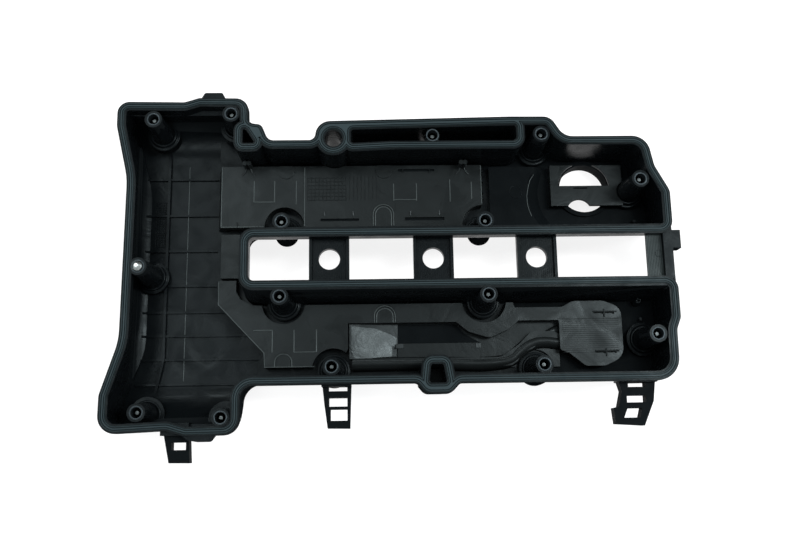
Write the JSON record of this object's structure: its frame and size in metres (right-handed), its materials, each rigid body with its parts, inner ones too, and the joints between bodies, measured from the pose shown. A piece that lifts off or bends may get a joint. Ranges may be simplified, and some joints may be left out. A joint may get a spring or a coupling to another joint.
{
  "type": "valve cover",
  "caption": "Moulded engine valve cover on its roof: gasketed rim, ignition valley with holed webs, oil baffles, oil filler neck, captive bolts and harness clips.",
  "frame": {"origin": "centre of the middle web hole, on the web face that looks out of the open side", "axes": "+X along the engine away from the timing end, +Y across the engine towards the oil filler side, +Z out of the open side; the cover lies on its roof"},
  "size_m": [0.4292, 0.2771, 0.059],
  "materials": {
    "cover_plastic": "fine moulded, satin",
    "gasket_rubber": "ribbed, satin",
    "baffle_plastic": "fine moulded, satin",
    "cap_plastic": "fine moulded, satin",
    "diaphragm_rubber": "smooth",
    "bolt_steel": "dark zinc plated",
    "sleeve_steel": "dark plated",
    "spring_steel": "bright wire"
  },
  "bodies": {
    "root": {"cover_shell": "cover_plastic", "head_gasket": "gasket_rubber", "upper_baffle": "baffle_plastic", "end_baffle": "baffle_plastic", "lower_baffle": "baffle_plastic", "filler_guard": "baffle_plastic", "cover_bolts": "bolt_steel", "bolt_sleeves": "sleeve_steel", "bolt_seals": "gasket_rubber", "breather_cap": "cap_plastic", "breather_diaphragm": "diaphragm_rubber", "breather_spring": "spring_steel"}
  },
  "joints": []
}
